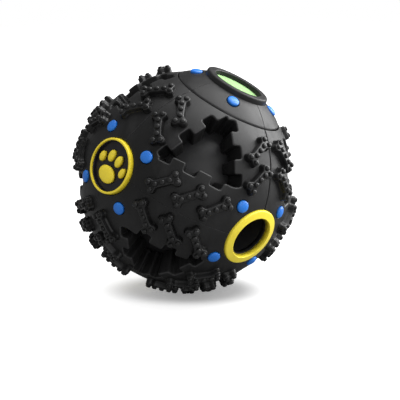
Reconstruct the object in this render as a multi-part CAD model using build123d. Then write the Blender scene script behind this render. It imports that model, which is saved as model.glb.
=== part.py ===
from build123d import *
import os
from math import acos, asin, cos, degrees, radians, sin, sqrt, tan

# Lengths are in millimetres, angles in degrees. The ball is laid out about its own axes: treat port on +X,
# sounder on +Z, the paw badge that faces the viewer on -Y. LYING then turns it to the way it lies.

# Ball
BALL_RADIUS = 55.0  # smooth outer face of the tread
TREAD_THICKNESS = 13.0  # outer face to the seat of the capsule
FIT_GAP = 0.3  # between pieces that nest
CUT_OVERRUN = 2.0  # how far a cut runs past the face that it opens
PORT_DIP = 24.2  # treat port below the horizontal
BALL_ROLL = -15.8  # turn about the treat port

# Lugs, bone-shaped, in slanted pairs along each line between two ports
LUG_HEIGHT = 5.0
LUG_ROOT = 1.0  # depth that a lug's foot is sunk into the tread
LUG_SPAN = 12.4  # between the centres of the two heads
LUG_LOBE_RADIUS = 2.0
LUG_LOBE_OFFSET = 1.7  # centre of a lobe from the lug's long axis
LUG_SHAFT_WIDTH = 3.8
LUG_SLANT = 45.0  # to the line between the ports
LUG_SIDE_ANGLE = 9.85  # centre of a lug from the line, seen from the ball's centre
LUG_PORT_ANGLE = 30.6  # last pair from the port that it stands by
LUG_COVER_ANGLE = 13.4  # last pair from the edge of the sounder's cover
UPPER_LINE_PAIRS = 2
OTHER_LINE_PAIRS = 3

# Notched windows, laid out on the plane that touches the ball at the window's centre
WINDOW_COVER_MARGIN = 0.84  # corner to the edge of the sounder's cover
WINDOW_STUD_MARGIN = 6.8  # corner to the studs, at least
NOTCH_DEPTH_SHARE = 0.39  # of the reach, which is the centre to the teeth
NOTCH_WIDTH_SHARE = 0.61
NOTCH_PITCH_SHARE = 1.295
NOTCH_LAP_SHARE = 0.09  # how far a notch starts inside the line of the teeth
NOTCH_PHASE_SHARES = (-0.34, -0.06, 0.39)  # of the pitch, one for each side
NOTCH_STEPS = (-1, 0, 1)
WINDOW_SIDES = 3

# Inner capsule
CAPSULE_WALL = 2.5
LAP_HEIGHT = 3.0  # tongue of the lower half inside the upper one
LAP_GAP = 0.15
SOCKET_WALL = 2.0  # cup that holds the sounder's foot
SOCKET_HEIGHT = 6.0
SOCKET_FLOOR_RISE = 2.7  # cup floor above the lowest point of the chamber

# Treat port
TREAT_BORE_RADIUS = 10.4
RING_BAND = 4.8  # bore to the ring's outer edge
RING_PROUD = 1.7  # above the ball at the ring's outer edge
RING_DEPTH = 5.0
RING_ROUND = 1.2
RING_FLARE = 0.9  # how far the bore opens at its mouth
CHUTE_WALL = 1.8
CHUTE_FLANGE = 1.8  # beyond the chute's wall
CHUTE_FLANGE_THICKNESS = 1.7

# Paw badges
BADGE_RADIUS = 13.8
BADGE_BAND = 2.2
BADGE_PROUD = 2.0  # above the ball at the badge's edge
BADGE_RECESS = 2.5  # ring top to the disc's face
BADGE_DISC_THICKNESS = 3.0
BADGE_ROUND = 0.8
PAD_RISE = 2.2
PAD_ROUND = 0.9
PALM_SIZE_SHARES = (0.94, 0.78)  # of the field inside the ring, width and height
PALM_PLACE_SHARES = (-0.04, -0.42)
INNER_TOE_SIZE_SHARES = (0.39, 0.49)
OUTER_TOE_SIZE_SHARES = (0.35, 0.42)
INNER_TOE_PLACE_SHARES = (0.25, 0.36)
OUTER_TOE_PLACE_SHARES = (0.71, 0.08)

# Blue studs
STUD_RADIUS = 3.2
STUD_SEAT_DEPTH = 1.0
STUD_DOME = 1.4  # top above the ball's face
STUD_EDGE = 0.2  # straight edge of the head above the ball's face
STUD_STEM_RADIUS = 1.8
STUD_STEM_LENGTH = 5.0
STUD_MARGIN = 2.2  # stud to the treat ring

# Sounder cover
COVER_RADIUS = 28.9  # where its edge meets the ball's face
COVER_DOME_RADIUS = 44.0  # its face is rounder than the ball
COLLAR_BAND = 4.5  # foot of the collar, beyond the hole
COLLAR_TAPER = 0.4
COLLAR_PROUD = 3.6  # above the cover at the collar's outer foot

# Sounder
TUBE_RADIUS = 12.0
TUBE_WALL = 1.2
CAP_LIP = 0.4  # end cap beyond the tube
CAP_THICKNESS = 3.0
CAP_RECESS = 3.1  # below the collar's top
BASE_THICKNESS = 2.5
SPIGOT_LENGTH = 3.0
SPIGOT_GAP = 0.1
BUMPER_THICKNESS = 2.0
GROMMET_WALL = 1.7
GROMMET_FLANGE = 1.7
GROMMET_FLANGE_THICKNESS = 1.5
GROMMET_GAP = 0.1

# Slug that slides in the tube
SLUG_LENGTH = 24.0
SLUG_GAP = 0.3
SLEEVE_WALL = 2.0
SLEEVE_LIP = 2.0
SLEEVE_LIP_THICKNESS = 1.5
WEIGHT_LENGTH = 11.0
WEIGHT_BORE_RADIUS = 3.0
SLUG_FIT_GAP = 0.1
WIPER_WIDTH = 3.0
WIPER_SINK = 0.8
WIPER_GAP = 0.1
REED_PLATE_THICKNESS = 2.0
REED_SLOT_WIDTH = 3.0
REED_SLOT_LENGTH = 8.0
REED_LAP = 0.6  # reed beyond its slot
REED_FOOT = 2.5  # length of the reed's fixed end
REED_THICKNESS = 0.4

# Sizes that follow from those above
SEAT_RADIUS = BALL_RADIUS - TREAD_THICKNESS
CAPSULE_RADIUS = SEAT_RADIUS - FIT_GAP
CHAMBER_RADIUS = CAPSULE_RADIUS - CAPSULE_WALL
LAP_RADIUS = CHAMBER_RADIUS + CAPSULE_WALL / 2
CHUTE_RADIUS = TREAT_BORE_RADIUS + CHUTE_WALL
CHUTE_FLANGE_RADIUS = CHUTE_RADIUS + CHUTE_FLANGE
RING_RADIUS = TREAT_BORE_RADIUS + RING_BAND
COVER_ANGLE = degrees(asin(COVER_RADIUS / BALL_RADIUS))
STUD_CIRCLE_RADIUS = RING_RADIUS + STUD_MARGIN + STUD_RADIUS
STUD_ANGLE = degrees(asin(STUD_CIRCLE_RADIUS / BALL_RADIUS))
TUBE_BORE_RADIUS = TUBE_RADIUS - TUBE_WALL
SPIGOT_RADIUS = TUBE_BORE_RADIUS - SPIGOT_GAP
CAP_RADIUS = TUBE_RADIUS + CAP_LIP
COVER_HOLE_RADIUS = CAP_RADIUS + FIT_GAP
COLLAR_RADIUS = COVER_HOLE_RADIUS + COLLAR_BAND
SOCKET_RADIUS = TUBE_RADIUS + FIT_GAP
GROMMET_BORE_RADIUS = TUBE_RADIUS + GROMMET_GAP
GROMMET_RADIUS = GROMMET_BORE_RADIUS + GROMMET_WALL
GROMMET_FLANGE_RADIUS = GROMMET_RADIUS + GROMMET_FLANGE
SLUG_RADIUS = TUBE_BORE_RADIUS - SLUG_GAP
SLUG_BORE_RADIUS = SLUG_RADIUS - SLEEVE_WALL
SLUG_CORE_RADIUS = SLUG_BORE_RADIUS - SLUG_FIT_GAP
WHOLE_BALL = 2 * (BALL_RADIUS + LUG_HEIGHT)

# A window reaches as far as the cover and the studs leave room for it
PORT_TO_WINDOW_ANGLE = degrees(acos(1 / sqrt(3)))
COVER_ROOM_ANGLE = PORT_TO_WINDOW_ANGLE - COVER_ANGLE - degrees(asin(WINDOW_COVER_MARGIN / BALL_RADIUS))
STUD_KEEP_OUT = STUD_RADIUS + WINDOW_STUD_MARGIN
STUD_ROOM_ANGLE = PORT_TO_WINDOW_ANGLE - STUD_ANGLE - degrees(asin(STUD_KEEP_OUT / BALL_RADIUS))
WINDOW_CORNER_ANGLE = min(COVER_ROOM_ANGLE, STUD_ROOM_ANGLE)
WINDOW_REACH = BALL_RADIUS * tan(radians(WINDOW_CORNER_ANGLE)) / 2
NOTCH_DEPTH = NOTCH_DEPTH_SHARE * WINDOW_REACH
NOTCH_WIDTH = NOTCH_WIDTH_SHARE * WINDOW_REACH
NOTCH_PITCH = NOTCH_PITCH_SHARE * WINDOW_REACH
NOTCH_LAP = NOTCH_LAP_SHARE * WINDOW_REACH


def drop(sphere_radius, radius):
    """Height of a sphere's face above its middle plane, at a radius from the upright axis."""
    return sqrt(sphere_radius**2 - radius**2)


# Heights along a port's own axis, from the ball's centre
BADGE_TOP = drop(BALL_RADIUS, BADGE_RADIUS) + BADGE_PROUD
BADGE_FACE = BADGE_TOP - BADGE_RECESS
BADGE_SEAT = BADGE_FACE - BADGE_DISC_THICKNESS
RING_TOP = drop(BALL_RADIUS, RING_RADIUS) + RING_PROUD
RING_SEAT = RING_TOP - RING_DEPTH
CHUTE_SHOULDER = drop(CHAMBER_RADIUS, CHUTE_FLANGE_RADIUS) - FIT_GAP
CHUTE_END = CHUTE_SHOULDER - CHUTE_FLANGE_THICKNESS
COVER_DOME_CENTRE = drop(BALL_RADIUS, COVER_RADIUS) - drop(COVER_DOME_RADIUS, COVER_RADIUS)
COLLAR_FOOT = COVER_DOME_CENTRE + drop(COVER_DOME_RADIUS, COLLAR_RADIUS)
COLLAR_TOP = COLLAR_FOOT + COLLAR_PROUD
CAP_TOP = COLLAR_TOP - CAP_RECESS
TUBE_TOP = CAP_TOP - CAP_THICKNESS
BASE_FOOT = SOCKET_FLOOR_RISE - CHAMBER_RADIUS
TUBE_FOOT = BASE_FOOT + BASE_THICKNESS
GROMMET_TOP = drop(SEAT_RADIUS, GROMMET_RADIUS) - FIT_GAP
GROMMET_SHOULDER = drop(CHAMBER_RADIUS, GROMMET_FLANGE_RADIUS) - FIT_GAP
LOWER_STOP = TUBE_FOOT + SPIGOT_LENGTH + BUMPER_THICKNESS
UPPER_STOP = TUBE_TOP - SPIGOT_LENGTH - BUMPER_THICKNESS
SLUG_FOOT = LOWER_STOP + SLUG_GAP
SLUG_TRAVEL = UPPER_STOP - SLUG_GAP - SLUG_LENGTH - SLUG_FOOT
WEIGHT_FOOT = SLUG_FOOT + SLEEVE_LIP_THICKNESS
REED_PLATE_FOOT = WEIGHT_FOOT + WEIGHT_LENGTH

LYING = Rot(0, PORT_DIP, 0) * Rot(BALL_ROLL, 0, 0)
STANDING = (Align.CENTER, Align.CENTER, Align.MIN)

# Each port's axis, and the direction that is up on its face
X, Y, Z = Vector(1, 0, 0), Vector(0, 1, 0), Vector(0, 0, 1)
PORTS = {
    "treat": (X, Z),
    "front": (-Y, Z),
    "rear": (Y, Z),
    "far": (-X, Z),
    "base": (-Z, X),
    "cover": (Z, X),
}
BADGE_PORTS = ("front", "rear", "far", "base")
LEVEL_PORTS = {"upper": "cover", "lower": "base"}


def at_port(name):
    """Plane through the ball's centre, facing out of a port."""
    axis, up = PORTS[name]
    return Plane(origin=(0, 0, 0), x_dir=up.cross(axis), z_dir=axis)


def rod(radius, low, high):
    """Cylinder on the upright axis between two heights."""
    return Pos(0, 0, low) * Cylinder(radius, high - low, align=STANDING)


def tube(radius, bore_radius, low, high):
    """Hollow cylinder on the upright axis between two heights."""
    return rod(radius, low, high) - rod(bore_radius, low, high)


def turned(*points):
    """Solid turned about the upright axis from (radius, height) points."""
    return revolve(Plane.XZ * make_face(Polyline(*points, close=True)), Axis.Z)


def top_edges(shape):
    """Edges that lie highest along the upright axis."""
    return shape.edges().group_by(Axis.Z)[-1]


# Lugs


def lug():
    """One bone-shaped lug standing on the top of the ball, its long axis along X."""
    outline = Rectangle(LUG_SPAN, LUG_SHAFT_WIDTH)
    for end in (-1, 1):
        for side in (-1, 1):
            outline += Pos(end * LUG_SPAN / 2, side * LUG_LOBE_OFFSET) * Circle(LUG_LOBE_RADIUS)
    foot = BALL_RADIUS - LUG_ROOT
    body = extrude(Pos(0, 0, foot) * outline, amount=LUG_HEIGHT + LUG_ROOT + CUT_OVERRUN)
    return body & Sphere(BALL_RADIUS + LUG_HEIGHT)


def lug_planes(start, end, pairs, apex, end_angle=LUG_PORT_ANGLE):
    """Planes of the lugs along the line from one port to the next; apex 1 points a pair at the first port."""
    side_axis = start.cross(end)
    step_angle = (90 - LUG_PORT_ANGLE - end_angle) / (pairs - 1)
    planes = []
    for pair in range(pairs):
        along = radians(LUG_PORT_ANGLE + pair * step_angle)
        spoke = start * cos(along) + end * sin(along)
        forward = end * cos(along) - start * sin(along)
        for side in (-1, 1):
            aside = radians(side * LUG_SIDE_ANGLE)
            out = spoke * cos(aside) + side_axis * sin(aside)
            sideways = side_axis * cos(aside) - spoke * sin(aside)
            lean = radians(LUG_SLANT)
            long_axis = sideways * (side * sin(lean)) + forward * (apex * cos(lean))
            planes.append(Plane(origin=(0, 0, 0), x_dir=long_axis, z_dir=out))
    return planes


def all_lug_planes():
    """Planes of every lug; the pairs point one way round the middle and over the top, as on a tyre."""
    middle = (X, Y, -X, -Y)
    planes = []
    for here, following in zip(middle, middle[1:] + middle[:1]):
        rising = 1 if here in (X, -Y) else -1
        planes += lug_planes(here, following, OTHER_LINE_PAIRS, 1)
        planes += lug_planes(here, Z, UPPER_LINE_PAIRS, -rising, COVER_ANGLE + LUG_COVER_ANGLE)
        planes += lug_planes(here, -Z, OTHER_LINE_PAIRS, rising)
    return planes


# Windows


def window_outline():
    """Three-cornered window with square notches along its sides, one corner up."""
    corners = []
    for corner in range(WINDOW_SIDES):
        turn = radians(90 + corner * 360 / WINDOW_SIDES)
        corners.append((2 * WINDOW_REACH * cos(turn), 2 * WINDOW_REACH * sin(turn)))
    outline = make_face(Polyline(*corners, close=True))
    notch = Rectangle(NOTCH_WIDTH, NOTCH_DEPTH + NOTCH_LAP, align=(Align.CENTER, Align.MAX))
    for side, phase in enumerate(NOTCH_PHASE_SHARES):
        for step in NOTCH_STEPS:
            place = Pos((phase + step) * NOTCH_PITCH, NOTCH_LAP - WINDOW_REACH)
            outline += Rot(0, 0, side * 360 / WINDOW_SIDES) * place * notch
    return outline


def window_cutter():
    """Radial cutter of one window, along the upright axis."""
    outline = window_outline()
    sections = []
    for height in (SEAT_RADIUS / 2, BALL_RADIUS + CUT_OVERRUN):
        sections.append(Pos(0, 0, height) * scale(outline, height / BALL_RADIUS))
    return loft(sections, ruled=True)


def window_plane(corners):
    """Plane of the window between three ports, its upper corner towards the last of them."""
    out = corners[0] + corners[1] + corners[2]
    return Plane(origin=(0, 0, 0), x_dir=corners[2].cross(out), z_dir=out)


# Studs


def stud():
    """Blue stud on the top of the ball: domed head on a stem."""
    seat = BALL_RADIUS - STUD_SEAT_DEPTH
    edge = BALL_RADIUS + STUD_EDGE
    top = BALL_RADIUS + STUD_DOME
    dome_radius = (STUD_RADIUS**2 + (top - edge) ** 2) / (2 * (top - edge))
    head = rod(STUD_RADIUS, seat, top) & (Pos(0, 0, top - dome_radius) * Sphere(dome_radius))
    return head + rod(STUD_STEM_RADIUS, seat - STUD_STEM_LENGTH, seat)


def stud_socket():
    """Cutter for a stud's seat and stem hole."""
    seat = BALL_RADIUS - STUD_SEAT_DEPTH
    foot = seat - STUD_STEM_LENGTH - FIT_GAP
    opening = rod(STUD_RADIUS + FIT_GAP, seat, BALL_RADIUS + CUT_OVERRUN)
    return opening + rod(STUD_STEM_RADIUS + FIT_GAP, foot, seat)


def stud_lift(port):
    """How far a port's studs stand out from the ball, which only the cover's rounder face asks for."""
    if port != "cover":
        return 0
    along, aside = (COVER_DOME_CENTRE * turn(radians(STUD_ANGLE)) for turn in (cos, sin))
    return along + drop(COVER_DOME_RADIUS, aside) - BALL_RADIUS


def round_port(name, shape):
    """Four copies of a shape about a port, between the lines to its neighbours."""
    lifted = Pos(0, 0, stud_lift(name)) * shape
    copies = []
    for quarter in range(4):
        copies.append(at_port(name) * Rot(0, 0, 45 + quarter * 90) * Rot(0, STUD_ANGLE, 0) * lifted)
    return copies


# Badges


def badge_field():
    """Radius of the disc's face inside the ring."""
    return BADGE_RADIUS - BADGE_BAND


def badge_ring():
    """Raised ring round a paw badge."""
    ring = tube(BADGE_RADIUS, badge_field(), BADGE_FACE, BADGE_TOP)
    return fillet(top_edges(ring), BADGE_ROUND)


def paw_pad(size_shares, place_shares):
    """Domed oval pad on the badge's face."""
    width, height = (share * badge_field() for share in size_shares)
    right, up = (share * badge_field() for share in place_shares)
    pad = extrude(Pos(right, up, BADGE_FACE) * Ellipse(width / 2, height / 2), amount=PAD_RISE)
    return fillet(top_edges(pad), PAD_ROUND)


def paw_toes():
    """The four toe pads of a badge."""
    toes = []
    for size, place in (
        (INNER_TOE_SIZE_SHARES, INNER_TOE_PLACE_SHARES),
        (OUTER_TOE_SIZE_SHARES, OUTER_TOE_PLACE_SHARES),
    ):
        for side in (-1, 1):
            toes.append(paw_pad(size, (side * place[0], place[1])))
    return toes


def badge_pieces(port):
    """Disc, ring, palm and toes of the badge in one port."""
    plane = at_port(port)
    return {
        f"{port}_badge_disc": plane * rod(BADGE_RADIUS, BADGE_SEAT, BADGE_FACE),
        f"{port}_badge_ring": plane * badge_ring(),
        f"{port}_paw_palm": plane * paw_pad(PALM_SIZE_SHARES, PALM_PLACE_SHARES),
        f"{port}_paw_toes": Compound([plane * toe for toe in paw_toes()]),
    }


# Treat port


def treat_ring():
    """Thick ring in the mouth of the treat port."""
    ring = turned(
        (TREAT_BORE_RADIUS, RING_SEAT),
        (RING_RADIUS, RING_SEAT),
        (RING_RADIUS, RING_TOP),
        (TREAT_BORE_RADIUS + RING_FLARE, RING_TOP),
        (TREAT_BORE_RADIUS, RING_TOP - RING_DEPTH / 2),
    )
    return at_port("treat") * fillet(top_edges(ring), RING_ROUND)


def treat_chute():
    """Sleeve from the ring through the tread into the capsule, with a flange inside."""
    sleeve = tube(CHUTE_RADIUS, TREAT_BORE_RADIUS, CHUTE_END, RING_SEAT)
    flange = tube(CHUTE_FLANGE_RADIUS, TREAT_BORE_RADIUS, CHUTE_END, CHUTE_SHOULDER)
    return at_port("treat") * (sleeve + flange)


# Tread and cover


def cover_cone(lift):
    """Cone from the ball's centre through the edge of the cover, lifted along its axis."""
    height = BALL_RADIUS + CUT_OVERRUN
    slope = COVER_RADIUS / drop(BALL_RADIUS, COVER_RADIUS)
    return Pos(0, 0, lift) * turned((0, 0), (height * slope, height), (0, height))


def port_seat(port):
    """Cutter for what sits in a port: the cover, the treat ring with its chute, or a badge."""
    outside = BALL_RADIUS + CUT_OVERRUN
    if port == "cover":
        return cover_cone(0)
    if port == "treat":
        seat = rod(RING_RADIUS + FIT_GAP, RING_SEAT, outside) + rod(CHUTE_RADIUS + FIT_GAP, 0, RING_SEAT)
    else:
        seat = rod(BADGE_RADIUS + FIT_GAP, BADGE_SEAT, outside)
    return at_port(port) * seat


def tread_panel(ports):
    """Panel of the tread between three ports, with its window and lugs."""
    corners = [PORTS[port][0] for port in ports]
    out = corners[0] + corners[1] + corners[2]
    corner_space = Pos(out * WHOLE_BALL / 2) * Box(WHOLE_BALL, WHOLE_BALL, WHOLE_BALL)
    panel = (Sphere(BALL_RADIUS) - Sphere(SEAT_RADIUS)) & corner_space
    panel -= window_plane(corners) * window_cutter()
    for port in ports:
        panel -= port_seat(port)
        if port != "cover":
            panel -= round_port(port, stud_socket())
    bone = lug()
    for plane in all_lug_planes():
        if all(plane.z_dir.dot(corner) > 0 for corner in corners):
            panel += plane * bone
    return panel


def tread_panels():
    """The eight panels by name."""
    panels = {}
    for level, level_port in LEVEL_PORTS.items():
        for end in ("treat", "far"):
            for side in ("front", "rear"):
                panels[f"{level}_{end}_{side}_panel"] = tread_panel((end, side, level_port))
    return panels


def sounder_cover():
    """Round cap of the tread over the sounder, with its collar."""
    lift = FIT_GAP / sin(radians(COVER_ANGLE))
    dome = Pos(0, 0, COVER_DOME_CENTRE) * Sphere(COVER_DOME_RADIUS)
    cap = (dome - Sphere(SEAT_RADIUS)) & cover_cone(lift)
    cap += turned(
        (0, SEAT_RADIUS),
        (COLLAR_RADIUS, SEAT_RADIUS),
        (COLLAR_RADIUS, COLLAR_FOOT),
        (COLLAR_RADIUS - COLLAR_TAPER, COLLAR_TOP),
        (0, COLLAR_TOP),
    )
    cap -= Sphere(SEAT_RADIUS)
    cap -= rod(COVER_HOLE_RADIUS, 0, COLLAR_TOP + CUT_OVERRUN)
    return cap - round_port("cover", stud_socket())


# Capsule


def capsule_shell():
    """Whole hollow capsule with the hole for the chute."""
    shell = Sphere(CAPSULE_RADIUS) - Sphere(CHAMBER_RADIUS)
    return shell - at_port("treat") * rod(CHUTE_RADIUS + FIT_GAP, 0, BALL_RADIUS)


def upper_capsule():
    """Upper half, rebated for the tongue of the lower one, with the hole for the sounder."""
    upper_space = Pos(0, 0, WHOLE_BALL / 2) * Box(WHOLE_BALL, WHOLE_BALL, WHOLE_BALL)
    half = capsule_shell() & upper_space
    half -= rod(LAP_RADIUS, 0, LAP_HEIGHT + LAP_GAP)
    return half - rod(GROMMET_RADIUS + GROMMET_GAP, 0, BALL_RADIUS)


def lower_capsule():
    """Lower half with its tongue and the cup for the sounder's foot."""
    lower_space = Pos(0, 0, -WHOLE_BALL / 2) * Box(WHOLE_BALL, WHOLE_BALL, WHOLE_BALL)
    half = capsule_shell() & (lower_space + rod(LAP_RADIUS - LAP_GAP, 0, LAP_HEIGHT))
    cup_radius = SOCKET_RADIUS + SOCKET_WALL
    cup = rod(cup_radius, -CAPSULE_RADIUS, BASE_FOOT + SOCKET_HEIGHT) & Sphere(CHAMBER_RADIUS + CAPSULE_WALL / 2)
    return half + (cup - rod(SOCKET_RADIUS, BASE_FOOT, 0))


# Sounder


def sounder_pieces():
    """Fixed pieces of the sounder, on the upright axis."""
    cap = rod(CAP_RADIUS, TUBE_TOP, CAP_TOP) + rod(SPIGOT_RADIUS, TUBE_TOP - SPIGOT_LENGTH, TUBE_TOP)
    base = rod(TUBE_RADIUS, BASE_FOOT, TUBE_FOOT) + rod(SPIGOT_RADIUS, TUBE_FOOT, TUBE_FOOT + SPIGOT_LENGTH)
    grommet = tube(GROMMET_RADIUS, GROMMET_BORE_RADIUS, GROMMET_SHOULDER, GROMMET_TOP)
    flange_low = GROMMET_SHOULDER - GROMMET_FLANGE_THICKNESS
    grommet += tube(GROMMET_FLANGE_RADIUS, GROMMET_BORE_RADIUS, flange_low, GROMMET_SHOULDER)
    return {
        "sounder_tube": tube(TUBE_RADIUS, TUBE_BORE_RADIUS, TUBE_FOOT, TUBE_TOP),
        "sounder_cap": cap,
        "sounder_base": base,
        "upper_bumper": rod(SPIGOT_RADIUS, UPPER_STOP, UPPER_STOP + BUMPER_THICKNESS),
        "lower_bumper": rod(SPIGOT_RADIUS, LOWER_STOP - BUMPER_THICKNESS, LOWER_STOP),
        "tube_grommet": grommet,
    }


def slug_sleeve():
    """Outer sleeve of the slug, with an inner lip under the weight and a groove for the wiper."""
    sleeve = tube(SLUG_RADIUS, SLUG_BORE_RADIUS, SLUG_FOOT, SLUG_FOOT + SLUG_LENGTH)
    lip_radius = SLUG_BORE_RADIUS - SLEEVE_LIP
    sleeve += tube(SLUG_BORE_RADIUS, lip_radius, SLUG_FOOT, SLUG_FOOT + SLEEVE_LIP_THICKNESS)
    low, high = wiper_heights()
    return sleeve - tube(SLUG_RADIUS + CUT_OVERRUN, SLUG_RADIUS - WIPER_SINK, low, high)


def wiper_heights():
    """Lower and upper face of the wiper, half way up the slug."""
    middle = SLUG_FOOT + SLUG_LENGTH / 2
    return middle - WIPER_WIDTH / 2, middle + WIPER_WIDTH / 2


def reed_plate():
    """Plate across the slug with the slot that the reed closes."""
    plate = rod(SLUG_CORE_RADIUS, REED_PLATE_FOOT, REED_PLATE_FOOT + REED_PLATE_THICKNESS)
    slot = Box(REED_SLOT_WIDTH, REED_SLOT_LENGTH, REED_PLATE_THICKNESS + CUT_OVERRUN)
    return plate - Pos(0, 0, REED_PLATE_FOOT + REED_PLATE_THICKNESS / 2) * slot


def reed():
    """Thin tongue that lies over the slot, fixed at one end."""
    width = REED_SLOT_WIDTH + 2 * REED_LAP
    length = REED_SLOT_LENGTH + REED_LAP + REED_FOOT
    start = -REED_SLOT_LENGTH / 2 - REED_LAP
    blade = Box(width, length, REED_THICKNESS, align=(Align.CENTER, Align.MIN, Align.MIN))
    return Pos(0, start, REED_PLATE_FOOT + REED_PLATE_THICKNESS) * blade


def slug_pieces():
    """Pieces that slide together in the sounder's tube."""
    weight = tube(SLUG_CORE_RADIUS, WEIGHT_BORE_RADIUS, WEIGHT_FOOT, WEIGHT_FOOT + WEIGHT_LENGTH)
    low, high = wiper_heights()
    return {
        "slug_sleeve": slug_sleeve(),
        "slug_weight": weight,
        "slug_wiper": tube(TUBE_BORE_RADIUS - WIPER_GAP, SLUG_RADIUS - WIPER_SINK, low, high),
        "reed_plate": reed_plate(),
        "reed": reed(),
    }


def all_pieces():
    """Every piece by name, about the ball's own axes."""
    pieces = tread_panels()
    pieces |= {
        "sounder_cover": sounder_cover(),
        "upper_capsule": upper_capsule(),
        "lower_capsule": lower_capsule(),
        "treat_ring": treat_ring(),
        "treat_chute": treat_chute(),
    }
    for port in BADGE_PORTS:
        pieces.update(badge_pieces(port))
    for port in PORTS:
        pieces[f"{port}_studs"] = Compound(round_port(port, stud()))
    pieces.update(sounder_pieces())
    pieces.update(slug_pieces())
    return pieces


def main():
    os.makedirs("parts", exist_ok=True)
    for name, piece in all_pieces().items():
        export_step(LYING * piece, f"parts/{name}.step")


if __name__ == "__main__":
    main()
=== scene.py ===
"""Looks of the treat dispensing ball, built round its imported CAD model."""

from math import asin, ceil, cos, pi, radians, sin, sqrt

import bpy
import numpy as np
from mathutils import Matrix, Vector
from mathutils.geometry import delaunay_2d_cdt


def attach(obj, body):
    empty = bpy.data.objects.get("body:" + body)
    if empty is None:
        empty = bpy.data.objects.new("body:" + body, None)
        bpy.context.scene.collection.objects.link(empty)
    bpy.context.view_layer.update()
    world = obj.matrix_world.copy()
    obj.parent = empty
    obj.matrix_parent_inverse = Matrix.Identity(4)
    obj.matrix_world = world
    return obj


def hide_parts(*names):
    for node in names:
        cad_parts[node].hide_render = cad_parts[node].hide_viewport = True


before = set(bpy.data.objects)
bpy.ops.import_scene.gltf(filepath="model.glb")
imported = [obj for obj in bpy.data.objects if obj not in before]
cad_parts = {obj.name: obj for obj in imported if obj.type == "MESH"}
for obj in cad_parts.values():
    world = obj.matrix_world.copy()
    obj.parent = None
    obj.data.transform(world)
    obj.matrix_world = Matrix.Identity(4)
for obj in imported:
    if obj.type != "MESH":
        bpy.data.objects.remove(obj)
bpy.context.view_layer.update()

# Sizes are in millimetres and angles in degrees, about the ball's own axes as in the CAD source:
# treat port on +X, sounder on +Z, the paw badge that faces the viewer on -Y.
MM = 0.001
PORT_DIP = 24.2
BALL_ROLL = -15.8
BALL_RADIUS = 55.0
SEAT_RADIUS = 42.1  # underside of the tread
SPACING = 1.7  # between points on the tread's face
EDGE_SPACING = 1.1  # between points along an edge
EDGE_STEPS = 4  # rows of a rounded edge
CELL_SHARE = 0.87  # area round a point of the face, over its spacing squared
PANEL_SPREAD = 0.3  # cosine of the widest angle from a panel's middle
CORNER_SHARE = 0.45  # a rounded corner takes at most this share of a side
ON_PLANE = 1e-9
ROUND_STEPS = 7  # points of a rounded corner on a turned piece
RING_SEGMENTS = 128

OPEN_SEAM = (0.3, 0.42)  # half the gap between two panels, and how round its edges are
SOFT_SEAM = (0.08, 0.22)
CLOSED_SEAM = (0.03, 0.12)
PORT_ROUND = 0.5
COVER_ROUND = 1.1
COVER_SEAT_ROUND = 0.25
COVER_INNER_ROUND = 0.0875  # under the collar
WINDOW_ROUND = 0.75
STUD_HOLE_ROUND = 0.35

BADGE_SEAT_RADIUS = 14.1
BADGE_SEAT = 49.7
RING_SEAT_RADIUS = 15.5
RING_SEAT = 49.5
CHUTE_HOLE_RADIUS = 12.6
COVER_EDGE_ANGLE = 31.7
COVER_GAP = 0.45
COVER_DOME_RADIUS = 44.0  # the cover's face is rounder than the ball
COVER_DOME_CENTRE = 13.61

WINDOW_REACH = 11.2
NOTCH_DEPTH = 4.37
NOTCH_WIDTH = 6.83
NOTCH_PITCH = 14.5
NOTCH_LAP = 1.0
NOTCH_PHASE_SHARES = (-0.34, -0.06, 0.39)
WINDOW_CORNER_ROUND = 1.3
SHORT_SIDE = 1.0  # sides of a window shorter than this are left out
SLIGHT_BEND = 1e-3  # and corners that bend less than this

STUD_RADIUS = 3.05
STUD_HOLE_RADIUS = 3.4
STUD_SEAT = -1.0  # heights of a stud from the ball's face
STUD_RIM = 0.15
STUD_TOP = 1.4
STUD_SEGMENTS = 40
STUD_ANGLE = 22.0
BASE_SINK = 1.5  # studs and badge of the base sit this much lower, out of sight in the photograph

COLLAR_HOLE_RADIUS = 12.7
COLLAR_FOOT_RADIUS = 17.15
COLLAR_TOP_RADIUS = 16.8
COLLAR_TOP = 57.0
COLLAR_FOOT = 52.6
COLLAR_SEAT_RADIUS = 16.6  # where the cover's face ends under the collar
COLLAR_LOW = 44.0
COLLAR_LOW_WALL = 1.0
COLLAR_SEAT_GAP = 0.2
COLLAR_OUTER_ROUND = 1.0
COLLAR_INNER_ROUND = 0.7

LUG_PORT_ANGLE = 30.6
LUG_COVER_ANGLE = 13.4
LUG_SIDE_ANGLE = 9.85
LUG_SLANT = 45.0
BONE_HEIGHT = 3.0
BONE_ROOT = 1.0
BONE_ROUND = 0.55
BONE_DRAFT = 0.1
BONE_SPINE = 6.0  # reach of the points along the middle of a lug's top
BONE_SPINE_POINTS = 9
BONE_FOOT = (  # flare of a lug's foot: inset and height
    (-0.5, -BONE_ROOT), (-0.45, 0.05), (-0.1, 0.5), (0.0, 1.2),
)
BONE_QUARTER = (  # outline from the middle of one side to the middle of one end
    (0.0, 1.85),
    (2.2, 1.85),
    (3.9, 2.0),
    (4.7, 2.7),
    (5.6, 3.5),
    (6.8, 3.65),
    (7.9, 3.0),
    (8.2, 1.9),
    (7.9, 0.9),
    (7.6, 0.0),
)
PEG_RADIUS = 1.3
PEG_TOP = 4.1
PEG_ROOT = 0.4
PEG_FLARE = 0.15
PEG_FOOT = 0.6  # height of the flared foot
PEG_CROWN = ((0.93, 0.5), (0.78, 0.2), (0.5, 0.04), (0, 0))  # share of the radius, and how far down
PEG_SEGMENTS = 12
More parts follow.
